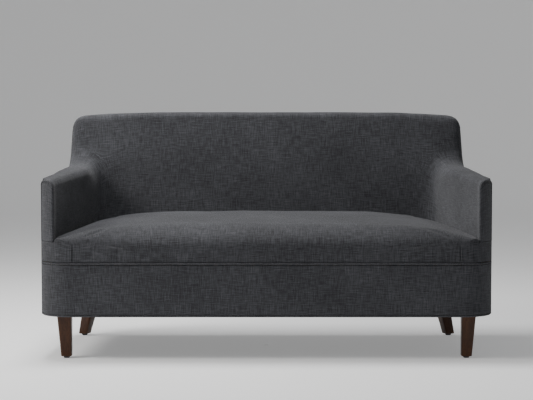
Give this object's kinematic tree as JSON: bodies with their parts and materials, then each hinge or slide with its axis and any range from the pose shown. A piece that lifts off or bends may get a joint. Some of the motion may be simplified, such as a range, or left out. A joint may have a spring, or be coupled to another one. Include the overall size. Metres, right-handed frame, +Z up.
{
  "type": "settee",
  "caption": "Compact upholstered settee with a crowned tight seat, slim arms sweeping into a gently arched tight back, welted seams and tapered wooden legs.",
  "frame": {"origin": "on the floor, under the middle of the settee's overall width and depth", "axes": "+Z up, +X to the right of someone looking at the front, -Y the way the settee faces"},
  "size_m": [1.6, 0.7816, 0.87],
  "materials": {
    "frame_wood": "rough planed",
    "hardboard": "pressed board",
    "leg_wood": "satin walnut brown",
    "spring_steel": "drawn wire",
    "deck_cloth": "woven cloth",
    "foam": "open-cell foam",
    "cover": "charcoal woven upholstery",
    "welt": "charcoal woven welt",
    "dust_cloth": "black non-woven",
    "plate_steel": "zinc plated",
    "glide_plastic": "matte black"
  },
  "bodies": {
    "root": {"front_rail": "frame_wood", "back_rail": "frame_wood", "side_rail_right": "frame_wood", "side_rail_left": "frame_wood", "corner_blocks": "frame_wood", "leg_gussets": "frame_wood", "seat_stretchers": "frame_wood", "arm_post_right": "frame_wood", "arm_post_left": "frame_wood", "arm_top_rail_right": "frame_wood", "arm_top_rail_left": "frame_wood", "arm_tack_rail_right": "frame_wood", "arm_tack_rail_left": "frame_wood", "arm_panel_right": "hardboard", "arm_panel_left": "hardboard", "back_post_right": "frame_wood", "back_post_left": "frame_wood", "back_top_rail": "frame_wood", "back_tack_rail": "frame_wood", "back_uprights": "frame_wood", "seat_springs": "spring_steel", "seat_spring_clips": "spring_steel", "seat_tie_wires": "spring_steel", "back_springs": "spring_steel", "back_spring_clips": "spring_steel", "seat_deck_cloth": "deck_cloth", "back_burlap": "deck_cloth", "seat_foam": "foam", "back_foam": "foam", "arm_foam_right": "foam", "arm_foam_left": "foam", "rail_padding": "foam", "seat_cover": "cover", "seat_ear_right": "cover", "seat_ear_left": "cover", "inside_back_cover": "cover", "inside_arm_cover_right": "cover", "inside_arm_cover_left": "cover", "arm_front_right": "cover", "arm_front_left": "cover", "outside_arm_right": "cover", "outside_arm_left": "cover", "outside_back": "cover", "base_band": "cover", "seat_welt": "welt", "base_welt": "welt", "arm_welt_right": "welt", "arm_welt_left": "welt", "dust_cover": "dust_cloth", "front_leg_right": "leg_wood", "front_leg_left": "leg_wood", "rear_leg_right": "leg_wood", "rear_leg_left": "leg_wood", "leg_plates": "plate_steel", "plate_screws": "plate_steel", "leg_bolts": "plate_steel", "glides": "glide_plastic"}
  },
  "joints": []
}
